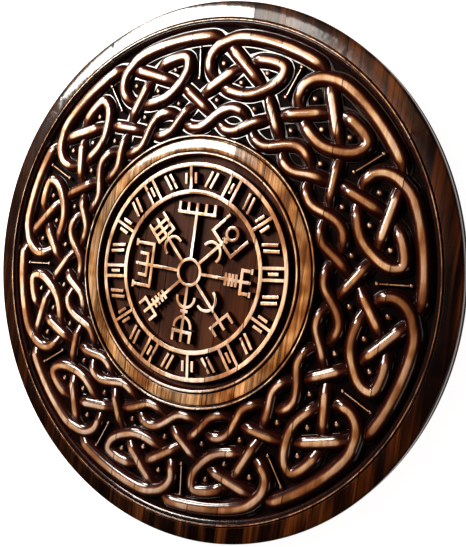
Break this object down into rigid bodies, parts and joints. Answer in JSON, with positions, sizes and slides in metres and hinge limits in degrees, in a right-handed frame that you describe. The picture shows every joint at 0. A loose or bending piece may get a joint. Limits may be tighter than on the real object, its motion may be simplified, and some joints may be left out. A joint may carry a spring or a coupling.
{
  "type": "wooden round shield",
  "caption": "Flat round shield of glued wooden boards, carved with a band of interlaced knotwork round a raised ring and a compass-like stave emblem.",
  "frame": {"origin": "centre of the back face, on which the shield lies", "axes": "+Z out of the carved face, +Y along the boards to the top of the emblem, +X across the boards"},
  "size_m": [0.6, 0.6, 0.022],
  "materials": {
    "lacquered_wood": "dark brown stain under gloss lacquer, paler where the carving stands high"
  },
  "bodies": {
    "root": {"board_1": "lacquered_wood", "board_2": "lacquered_wood", "board_3": "lacquered_wood", "board_4": "lacquered_wood", "board_5": "lacquered_wood", "board_6": "lacquered_wood", "board_7": "lacquered_wood", "board_8": "lacquered_wood", "board_9": "lacquered_wood"}
  },
  "joints": []
}
